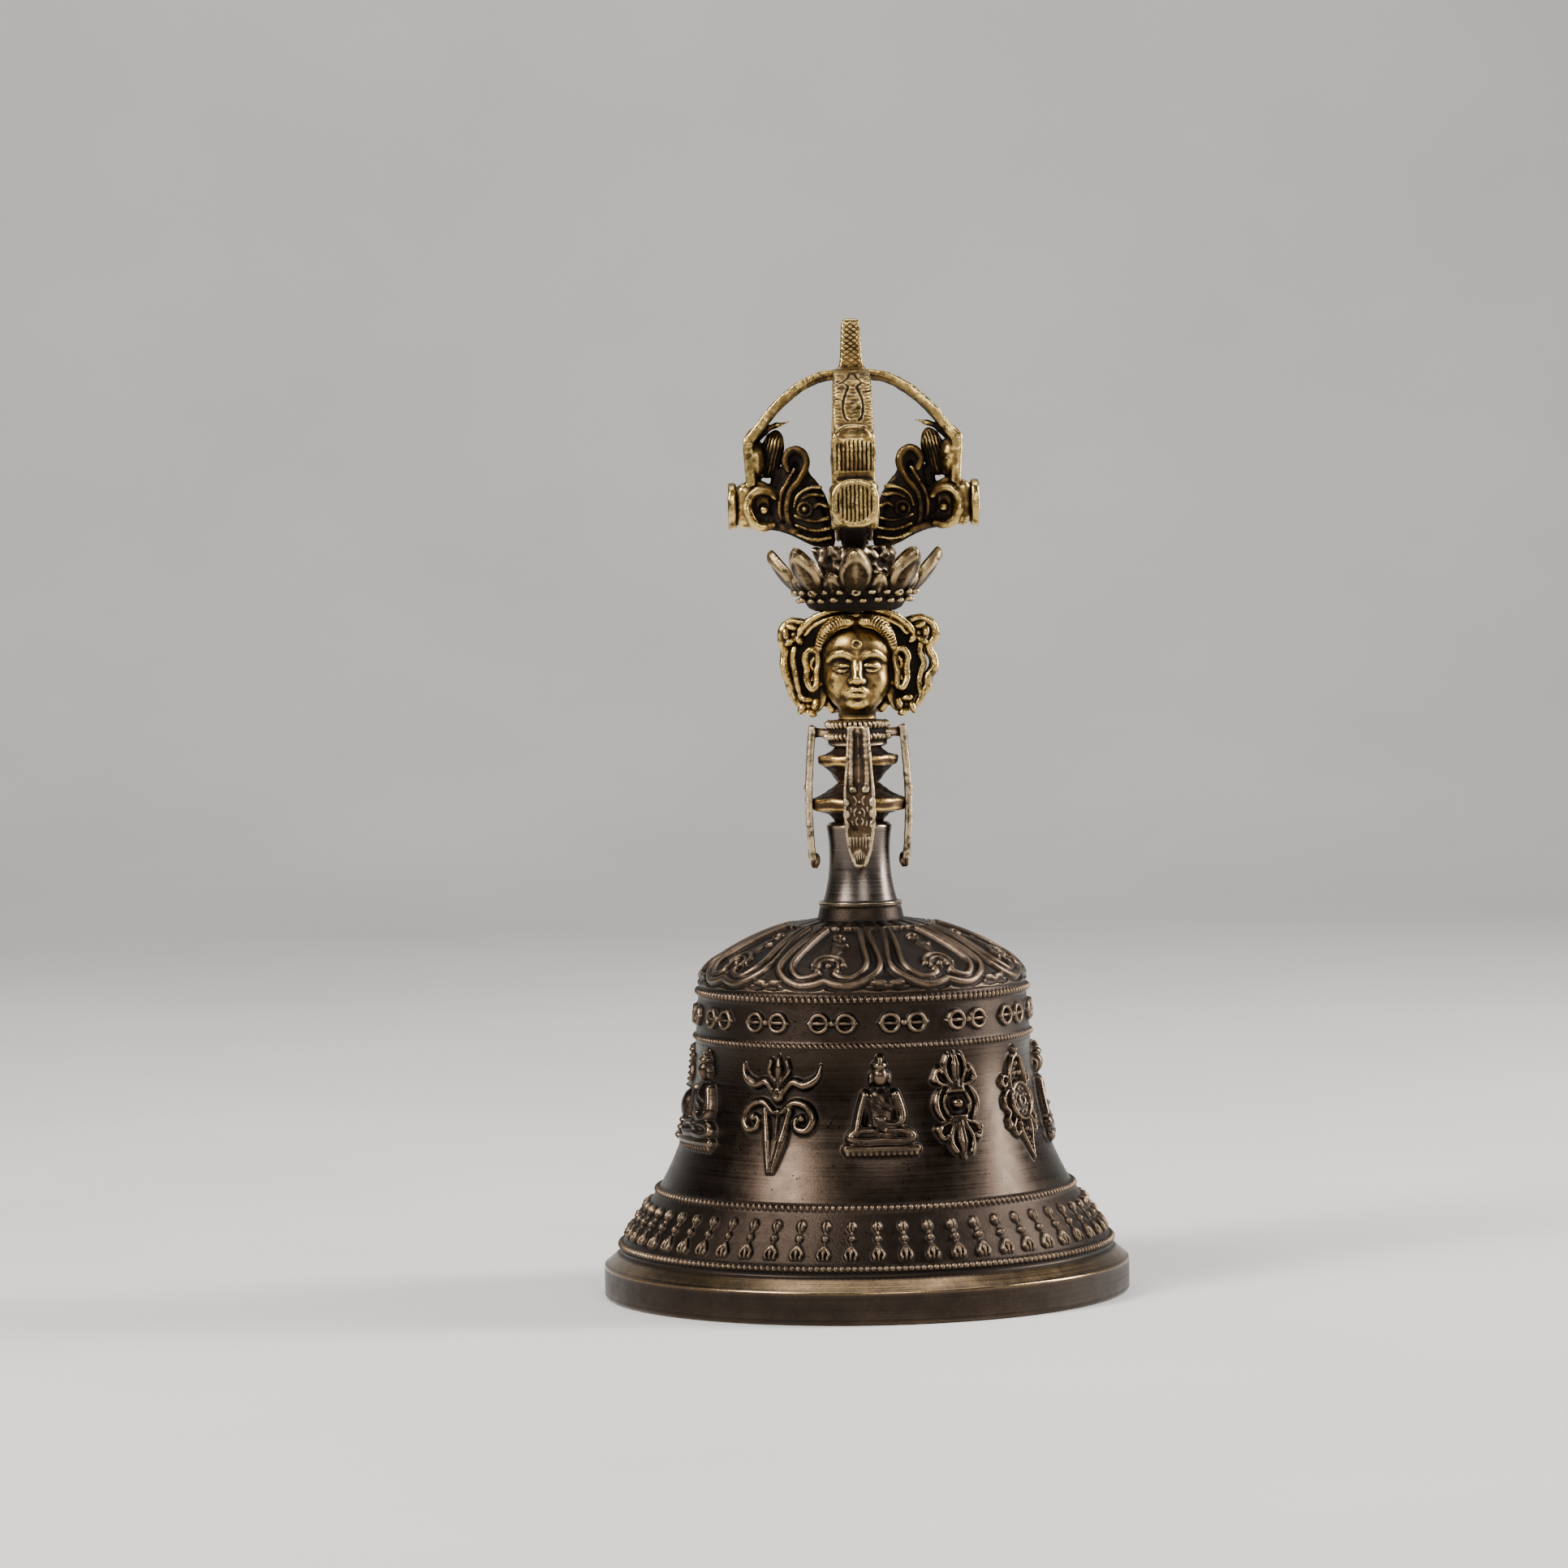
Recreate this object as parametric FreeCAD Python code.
"""A Tibetan hand bell (drilbu): a cast bell, a turned neck sleeve and a handle stacked on a central
rod, with a clapper that hangs from an eye nut on a loose link.

Row frame: +Z up, the bell's axis on Z, the lip's flat foot on Z = 0, the face on the handle looks
along -Y. All lengths are in millimetres.
"""

import FreeCAD, Part
import math
import os

from FreeCAD import Vector

# ---- Driving dimensions --------------------------------------------------------------------------
LIP_RADIUS = 47.0          # the bell's widest radius, at the lip
LIP_EDGE_Z = 5.6           # top edge of the lip's upright band
WALL = 2.9                 # the bell's wall
SKIRT_TOP = (37.2, 19.0)   # radius and height where the waist meets the skirt
SKIRT_FOOT = (43.9, 9.3)
BAND_TOP = (29.3, 54.4)    # the upper band, between the shoulder and the waist
BAND_FOOT = (29.9, 46.4)
CROWN_Z = 66.6             # the shoulder's top, at the foot of the boss
BOSS_RADIUS = 7.8
BOSS_TOP_Z = 69.6
CROWN_UNDER_Z = 62.8       # underside of the crown, inside the bell

ROD_RADIUS = 2.0           # the M4 rod that holds the handle to the bell
ROD_FIT = 0.05             # radial clearance of every piece that slides on the rod
ROD_CHAMFER = 0.4
ROD_FOOT_Z = 58.6
ROD_TOP_Z = 131.0

SLEEVE_TOP_Z = 84.2
SLEEVE_WAIST = (5.65, 74.6)
FLANGE_RADIUS = 7.45       # the sleeve's flange on the bell's boss
FLANGE_THICK = 0.4
SPIGOT_RADIUS = 4.5
SPIGOT_DEPTH = 2.8

WASHER_RADIUS = 7.0
WASHER_THICK = 1.0
EYE_BOSS_RADIUS = 3.6
EYE_BOSS_HEIGHT = 4.2
EYE_RING_RADIUS = 3.2      # centreline of the eye nut's ring
EYE_WIRE = 1.0             # radius of its wire
LINK_WIRE = 0.9
LINK_BEND = 2.6            # centreline radius of the link's two bends
LINK_STRAIGHT = 1.6        # length of its straight sides
SHANK_WIRE = 1.0
SHANK_BEND = 2.8           # centreline radius of the shank's eye
SHANK_RADIUS = 1.5
HANG_GAP = 0.03            # room between two wires that hang on each other
STRIKER_RADIUS = 7.0
STRIKER_TOP_Z = 17.0
STRIKER_FOOT_Z = 3.4

LOWER_DISC_RADIUS = 8.3
LOWER_DISC_Z = 87.3        # height of its sharp edge
UPPER_DISC_RADIUS = 7.3
UPPER_DISC_Z = 95.2
DISC_JOIN_Z = 91.2         # where the two discs' hubs meet
COLLAR_FOOT_Z = 97.6
COLLAR_TOP_Z = 102.4
COLLAR_RADIUS = 5.9
LEAF_TOP_Z = 100.6
LEAF_TIP_Z = 75.4
LEAF_WIDTH = 6.0
LEAF_THICK = 1.3
HEAD_TOP_Z = 121.8
RIBBON_REACH = 14.0        # half the width over the ribbons beside the head
LOTUS_TOP_Z = 131.4
LOTUS_RADIUS = 16.4
PETALS = 8

HUB_RADIUS = 6.0
HUB_FOOT_Z = 125.4
PRONG_ROOT_Z = 133.4
PRONG_HALF = 3.3           # half the width of an outer prong's strap
KNOB_HALF = 4.0
JUNCTION_FOOT_Z = 162.6
JUNCTION_TOP_Z = 164.9
SHAFT_HALVES = ((PRONG_ROOT_Z, 2.3), (148.0, 2.5), (JUNCTION_FOOT_Z, 1.9))   # height, half its width
TIP_TOP_Z = 173.8
TIP_HALVES = ((JUNCTION_TOP_Z, 2.6), (167.0, 2.05), (TIP_TOP_Z - 0.6, 1.75), (TIP_TOP_Z, 1.3))
QUARTERS = {"right": 0, "back": 90, "left": 180, "front": 270}

# ---- Small tools ---------------------------------------------------------------------------------
Z_AXIS = Vector(0, 0, 1)
ORIGIN = Vector(0, 0, 0)


def outline(start, *steps):
    """A closed face in the XZ plane. A step is a point (x, z), or two points for an arc through the
    first to the second."""
    at, edges = Vector(start[0], 0, start[1]), []
    for step in (*steps, start):
        if isinstance(step[0], tuple):
            middle, end = (Vector(x, 0, z) for x, z in step)
            edges.append(Part.Arc(at, middle, end).toShape())
        else:
            end = Vector(step[0], 0, step[1])
            if end.distanceToPoint(at) > 1e-6:
                edges.append(Part.LineSegment(at, end).toShape())
        at = end
    return Part.Face(Part.Wire(edges))


def turned(start, *steps):
    """The outline turned about the bell's axis."""
    return outline(start, *steps).revolve(ORIGIN, Z_AXIS, 360)


def slab(face, half):
    """The outline pulled to half each side of the XZ plane."""
    lower = face.copy()
    lower.translate(Vector(0, -half, 0))
    return lower.extrude(Vector(0, 2 * half, 0))


def rod(radius, foot, top):
    return Part.makeCylinder(radius, top - foot, Vector(0, 0, foot))


def bored(shape, foot, top):
    """The shape with the rod's clearance hole from foot to top."""
    return shape.cut(rod(ROD_RADIUS + ROD_FIT, foot, top))


def torus(centre_z, bend, wire, axis):
    return Part.makeTorus(bend, wire, Vector(0, 0, centre_z), axis)


def square_bar(*halves):
    """A square bar through sections given as (height, half the width)."""
    sections = []
    for z, half in halves:
        points = [Vector(x * half, y * half, z) for x, y in ((-1, -1), (1, -1), (1, 1), (-1, 1), (-1, -1))]
        sections.append(Part.makePolygon(points))
    return Part.makeLoft(sections, True, True)


def quarter(shape, degrees):
    turned_copy = shape.copy()
    turned_copy.rotate(ORIGIN, Z_AXIS, degrees)
    return turned_copy


# ---- The bell ------------------------------------------------------------------------------------
def bell_body():
    """One casting: lip, skirt, waist, upper band, shoulder and a bored boss for the sleeve."""
    return turned(
        (BOSS_RADIUS - 0.7, BOSS_TOP_Z),
        (BOSS_RADIUS, CROWN_Z),
        ((17.0, 64.2), (25.0, 60.2)),
        ((28.0, 57.7), BAND_TOP),
        BAND_FOOT,
        ((31.9, 31.0), SKIRT_TOP),
        SKIRT_FOOT,
        (SKIRT_FOOT[0] + 0.2, SKIRT_FOOT[1] - 0.9),
        (LIP_RADIUS, LIP_EDGE_Z),
        (LIP_RADIUS, 0.6),
        (LIP_RADIUS - 0.6, 0),
        (LIP_RADIUS - 5.2, 0),
        (LIP_RADIUS - 5.8, 0.6),
        ((38.2, 11.4), (SKIRT_TOP[0] - WALL, SKIRT_TOP[1] - 1.2)),
        ((29.0, 31.0), (BAND_FOOT[0] - WALL, BAND_FOOT[1])),
        (BAND_TOP[0] - WALL, BAND_TOP[1] - 1.0),
        ((24.6, 56.9), (20.5, 59.6)),
        (10.0, CROWN_UNDER_Z),
        (SPIGOT_RADIUS, CROWN_UNDER_Z),
        (ROD_RADIUS + ROD_FIT, CROWN_UNDER_Z),
        (ROD_RADIUS + ROD_FIT, BOSS_TOP_Z - SPIGOT_DEPTH),
        (SPIGOT_RADIUS + ROD_FIT, BOSS_TOP_Z - SPIGOT_DEPTH),
        (SPIGOT_RADIUS + ROD_FIT, BOSS_TOP_Z),
    )


def neck_sleeve():
    """The turned sleeve between bell and handle, with a spigot that drops into the boss."""
    flange_z = BOSS_TOP_Z + FLANGE_THICK
    return turned(
        (ROD_RADIUS + ROD_FIT, BOSS_TOP_Z - SPIGOT_DEPTH),
        (SPIGOT_RADIUS, BOSS_TOP_Z - SPIGOT_DEPTH),
        (SPIGOT_RADIUS, BOSS_TOP_Z),
        (FLANGE_RADIUS, BOSS_TOP_Z),
        (FLANGE_RADIUS, flange_z),
        (6.55, flange_z),
        (SLEEVE_WAIST, (5.95, SLEEVE_TOP_Z - 0.8)),
        (5.2, SLEEVE_TOP_Z),
        (ROD_RADIUS + ROD_FIT, SLEEVE_TOP_Z),
    )


def central_rod():
    """The plain rod with a chamfer at each end."""
    return turned(
        (0, ROD_FOOT_Z),
        (ROD_RADIUS - ROD_CHAMFER, ROD_FOOT_Z),
        (ROD_RADIUS, ROD_FOOT_Z + ROD_CHAMFER),
        (ROD_RADIUS, ROD_TOP_Z - ROD_CHAMFER),
        (ROD_RADIUS - ROD_CHAMFER, ROD_TOP_Z),
        (0, ROD_TOP_Z),
    )


# ---- The clapper ---------------------------------------------------------------------------------
WASHER_FOOT_Z = CROWN_UNDER_Z - WASHER_THICK
EYE_FOOT_Z = WASHER_FOOT_Z - EYE_BOSS_HEIGHT
EYE_CENTRE_Z = EYE_FOOT_Z - EYE_RING_RADIUS + EYE_WIRE * 0.8
LINK_PIVOT_Z = EYE_CENTRE_Z - EYE_RING_RADIUS
LINK_TOP_Z = LINK_PIVOT_Z + EYE_WIRE + LINK_WIRE + HANG_GAP
CLAPPER_PIVOT_Z = LINK_TOP_Z - 2 * LINK_BEND - LINK_STRAIGHT
SHANK_EYE_Z = CLAPPER_PIVOT_Z + LINK_WIRE + SHANK_WIRE + HANG_GAP - SHANK_BEND


def crown_washer():
    return turned(
        (ROD_RADIUS + ROD_FIT, WASHER_FOOT_Z),
        (WASHER_RADIUS, WASHER_FOOT_Z),
        (WASHER_RADIUS, CROWN_UNDER_Z),
        (ROD_RADIUS + ROD_FIT, CROWN_UNDER_Z),
    )


def eye_nut():
    """The nut that clamps the rod, with the ring that the clapper's link hangs on."""
    corners = []
    for degrees in range(0, 361, 60):
        a = math.radians(degrees)
        corners.append(Vector(EYE_BOSS_RADIUS * math.cos(a), EYE_BOSS_RADIUS * math.sin(a), EYE_FOOT_Z))
    nut = Part.Face(Part.makePolygon(corners)).extrude(Vector(0, 0, EYE_BOSS_HEIGHT))
    ring = torus(EYE_CENTRE_Z, EYE_RING_RADIUS, EYE_WIRE, Vector(0, 1, 0))
    return bored(nut.fuse(ring).removeSplitter(), ROD_FOOT_Z - 0.2, WASHER_FOOT_Z)


def suspension_link():
    """An oval wire link in the YZ plane."""
    high, low = LINK_TOP_Z - LINK_BEND, LINK_TOP_Z - LINK_BEND - LINK_STRAIGHT
    foot_z = low - LINK_BEND
    side = [Vector(0, LINK_BEND, high), Vector(0, LINK_BEND, low)]
    other = [Vector(0, -LINK_BEND, low), Vector(0, -LINK_BEND, high)]
    path = Part.Wire(
        [
            Part.LineSegment(*side).toShape(),
            Part.Arc(side[1], Vector(0, 0, foot_z), other[0]).toShape(),
            Part.LineSegment(*other).toShape(),
            Part.Arc(other[1], Vector(0, 0, LINK_TOP_Z), side[0]).toShape(),
        ]
    )
    section = Part.Wire(Part.Circle(side[0], Z_AXIS, LINK_WIRE).toShape())
    return path.makePipeShell([section], True, False)


def clapper_shank():
    """The forged shank: an eye on top, a shoulder that the striker seats on and a riveted foot."""
    eye = torus(SHANK_EYE_Z, SHANK_BEND, SHANK_WIRE, Vector(0, 1, 0))
    root_z = SHANK_EYE_Z - SHANK_BEND
    bar = turned(
        (0, root_z),
        (SHANK_WIRE * 0.8, root_z),
        (SHANK_RADIUS, root_z - 3.2),
        (SHANK_RADIUS, STRIKER_TOP_Z + 1.0),
        (SHANK_RADIUS + 1.0, STRIKER_TOP_Z + 0.5),
        (SHANK_RADIUS + 1.0, STRIKER_TOP_Z),
        (SHANK_RADIUS, STRIKER_TOP_Z),
        (SHANK_RADIUS, STRIKER_FOOT_Z),
        (SHANK_RADIUS + 1.1, STRIKER_FOOT_Z),
        (SHANK_RADIUS + 0.4, STRIKER_FOOT_Z - 1.0),
        (0, STRIKER_FOOT_Z - 1.0),
    )
    return eye.fuse(bar).removeSplitter()


def clapper_striker():
    """The bored striker bulb, held between the shank's shoulder and its rivet."""
    bore = SHANK_RADIUS + 0.02
    return turned(
        (bore, STRIKER_FOOT_Z),
        (3.6, STRIKER_FOOT_Z),
        ((STRIKER_RADIUS, 8.6), (5.2, 13.6)),
        ((3.6, 15.4), (3.0, STRIKER_TOP_Z)),
        (bore, STRIKER_TOP_Z),
    )


# ---- The stem ------------------------------------------------------------------------------------
def lower_disc():
    disc = turned(
        (0, SLEEVE_TOP_Z),
        (4.4, SLEEVE_TOP_Z),
        (4.9, SLEEVE_TOP_Z + 1.6),
        (LOWER_DISC_RADIUS - 0.2, LOWER_DISC_Z - 0.5),
        ((LOWER_DISC_RADIUS, LOWER_DISC_Z), (LOWER_DISC_RADIUS - 0.2, LOWER_DISC_Z + 0.5)),
        ((5.6, LOWER_DISC_Z + 1.5), (3.9, DISC_JOIN_Z)),
        (0, DISC_JOIN_Z),
    )
    return bored(disc, SLEEVE_TOP_Z, DISC_JOIN_Z)


def upper_disc():
    disc = turned(
        (0, DISC_JOIN_Z),
        (3.9, DISC_JOIN_Z),
        ((5.0, UPPER_DISC_Z - 1.8), (UPPER_DISC_RADIUS - 0.2, UPPER_DISC_Z - 0.5)),
        ((UPPER_DISC_RADIUS, UPPER_DISC_Z), (UPPER_DISC_RADIUS - 0.2, UPPER_DISC_Z + 0.4)),
        (4.6, UPPER_DISC_Z + 1.4),
        (4.3, COLLAR_FOOT_Z),
        (0, COLLAR_FOOT_Z),
    )
    return bored(disc, DISC_JOIN_Z, COLLAR_FOOT_Z)


def bead_collar():
    """Two rows of beads, each a rounded ring."""
    middle = (COLLAR_FOOT_Z + COLLAR_TOP_Z) / 2
    inner = COLLAR_RADIUS - 0.8
    ring = turned(
        (0, COLLAR_FOOT_Z),
        (inner, COLLAR_FOOT_Z),
        (inner, COLLAR_FOOT_Z + 0.8),
        ((COLLAR_RADIUS, (COLLAR_FOOT_Z + 0.8 + middle) / 2), (inner, middle)),
        ((COLLAR_RADIUS - 0.2, (COLLAR_TOP_Z - 0.8 + middle) / 2), (inner, COLLAR_TOP_Z - 0.8)),
        (3.9, COLLAR_TOP_Z),
        (0, COLLAR_TOP_Z),
    )
    return bored(ring, COLLAR_FOOT_Z, COLLAR_TOP_Z)


def leaf_pendant():
    """One hanging leaf, on the +X side: a bowed strip cut to a pointed leaf, with a tab on the collar."""
    top_half = LEAF_WIDTH * 0.34
    bow = slab(
        outline(
            (7.9, LEAF_TOP_Z),
            ((9.7, 87.5), (8.7, LEAF_TIP_Z)),
            (8.7 - LEAF_THICK, LEAF_TIP_Z + 0.3),
            ((9.7 - LEAF_THICK, 87.5), (7.9 - LEAF_THICK, LEAF_TOP_Z)),
        ),
        LEAF_WIDTH,
    )
    shape = outline(
        (-top_half, LEAF_TOP_Z + 1),
        (top_half, LEAF_TOP_Z + 1),
        (top_half, LEAF_TOP_Z - 3),
        ((LEAF_WIDTH / 2, 87.5), (LEAF_WIDTH * 0.4, 80.5)),
        ((LEAF_WIDTH * 0.22, 77.2), (0, LEAF_TIP_Z)),
        ((-LEAF_WIDTH * 0.22, 77.2), (-LEAF_WIDTH * 0.4, 80.5)),
        ((-LEAF_WIDTH / 2, 87.5), (-top_half, LEAF_TOP_Z - 3)),
    )
    face_on = slab(shape, 20)
    face_on.rotate(ORIGIN, Z_AXIS, 90)
    tab = Part.makeBox(2.2, 2.4, 1.6, Vector(COLLAR_RADIUS - 0.6, -1.2, LEAF_TOP_Z - 1.9))
    room = rod(COLLAR_RADIUS + 0.01, COLLAR_FOOT_Z, COLLAR_TOP_Z)
    return bow.common(face_on).fuse(tab).cut(room).removeSplitter()


# ---- The head, the lotus and the half vajra ------------------------------------------------------
def head():
    """The head with its neck, hair and the ribbons and rings that hang beside it."""
    skull = turned(
        (0, COLLAR_TOP_Z),
        (3.9, COLLAR_TOP_Z),
        (3.3, COLLAR_TOP_Z + 1.4),
        ((6.9, 107.5), (7.4, 112.5)),
        ((7.3, 117.6), (6.4, HEAD_TOP_Z)),
        (0, HEAD_TOP_Z),
    )
    side = outline(
        (5.0, 119.6),
        ((8.6, 120.8), (11.2, 118.9)),
        ((RIBBON_REACH, 116.2), (RIBBON_REACH - 0.4, 112.0)),
        ((12.8, 107.2), (10.4, 104.3)),
        ((7.4, 102.3), (5.0, 104.4)),
    )
    right = slab(side, 1.8)
    return bored(skull.fuse([right, quarter(right, 180)]).removeSplitter(), COLLAR_TOP_Z, HEAD_TOP_Z)


def lotus_crown():
    """An open dish of petals: a turned dish with a notch between each two petals."""
    dish = turned(
        (0, HEAD_TOP_Z),
        (7.4, HEAD_TOP_Z),
        (9.0, HEAD_TOP_Z + 0.8),
        ((13.2, 126.4), (LOTUS_RADIUS, LOTUS_TOP_Z)),
        (LOTUS_RADIUS - 1.5, LOTUS_TOP_Z),
        ((11.6, 127.4), (8.6, HUB_FOOT_Z)),
        (0, HUB_FOOT_Z),
    )
    notch = slab(outline((0, 128.0), (4.2, LOTUS_TOP_Z + 2), (-4.2, LOTUS_TOP_Z + 2)), 12)
    notch.rotate(ORIGIN, Z_AXIS, 90)
    notch.translate(Vector(22, 0, 0))
    step = 360 / PETALS
    notches = [quarter(notch, step * (i + 0.5)) for i in range(PETALS)]
    return bored(dish.cut(notches), HEAD_TOP_Z, HUB_FOOT_Z)


def vajra_hub():
    hub = turned(
        (0, HUB_FOOT_Z),
        (HUB_RADIUS - 1.0, HUB_FOOT_Z),
        ((HUB_RADIUS + 0.8, 129.2), (HUB_RADIUS, PRONG_ROOT_Z)),
        (0, PRONG_ROOT_Z),
    )
    return bored(hub, HUB_FOOT_Z, ROD_TOP_Z + 0.2)


def centre_prong():
    """The square middle prong, the block that the outer prongs are brazed to, and the tip."""
    shaft = square_bar(*SHAFT_HALVES)
    junction = Part.makeBox(
        2 * PRONG_HALF, 2 * PRONG_HALF, JUNCTION_TOP_Z - JUNCTION_FOOT_Z,
        Vector(-PRONG_HALF, -PRONG_HALF, JUNCTION_FOOT_Z),
    )
    return shaft.fuse([junction, square_bar(*TIP_HALVES)]).removeSplitter()


def outer_prong():
    """One outer prong, on the +X side: a strap that arches to the junction, a sea monster's head at
    its root and a drum-shaped knob on the lower jaw."""
    strap = slab(
        outline(
            (PRONG_HALF, JUNCTION_TOP_Z),
            ((11.6, 162.0), (19.2, 152.8)),
            ((19.75, 149.6), (18.9, 144.2)),
            (17.0, 144.2),
            ((17.8, 149.4), (17.3, 151.9)),
            ((10.5, 160.2), (PRONG_HALF, JUNCTION_TOP_Z - 1.9)),
        ),
        PRONG_HALF,
    )
    monster = slab(
        outline(
            (PRONG_HALF + 0.05, PRONG_ROOT_Z),
            (7.0, PRONG_ROOT_Z),
            ((12.4, 134.2), (17.8, 136.2)),
            (18.2, 144.4),
            (17.4, 149.6),
            ((15.6, 151.6), (13.2, 149.4)),
            ((9.0, 147.6), (6.2, 143.2)),
            (PRONG_HALF + 0.05, 137.4),
        ),
        PRONG_HALF - 0.1,
    )
    knob = slab(
        outline(
            (17.6, 136.0),
            ((20.0, 135.4), (22.4, 136.8)),
            (22.4, 143.2),
            ((20.0, 144.6), (17.6, 144.0)),
        ),
        KNOB_HALF,
    )
    return strap.fuse([monster, knob]).removeSplitter()


# ---- Write one STEP per piece --------------------------------------------------------------------
def main():
    pieces = {
        "bell_body": bell_body(),
        "neck_sleeve": neck_sleeve(),
        "central_rod": central_rod(),
        "crown_washer": crown_washer(),
        "eye_nut": eye_nut(),
        "suspension_link": suspension_link(),
        "clapper_shank": clapper_shank(),
        "clapper_striker": clapper_striker(),
        "lower_disc": lower_disc(),
        "upper_disc": upper_disc(),
        "bead_collar": bead_collar(),
        "head": head(),
        "lotus_crown": lotus_crown(),
        "vajra_hub": vajra_hub(),
        "centre_prong": centre_prong(),
    }
    for side, degrees in QUARTERS.items():
        pieces[f"leaf_{side}"] = quarter(leaf_pendant(), degrees)
        pieces[f"prong_{side}"] = quarter(outer_prong(), degrees)

    os.makedirs("parts", exist_ok=True)
    for name, shape in pieces.items():
        solids = shape.Solids
        state = "valid" if shape.isValid() and len(solids) == 1 else "NOT ONE VALID SOLID"
        print(f"{name:18s} solids {len(solids)} {state} volume {shape.Volume:9.1f}")
        solids[0].exportStep(f"parts/{name}.step")
    print("link pivot z", round(LINK_PIVOT_Z, 3), "clapper pivot z", round(CLAPPER_PIVOT_Z, 3))


main()
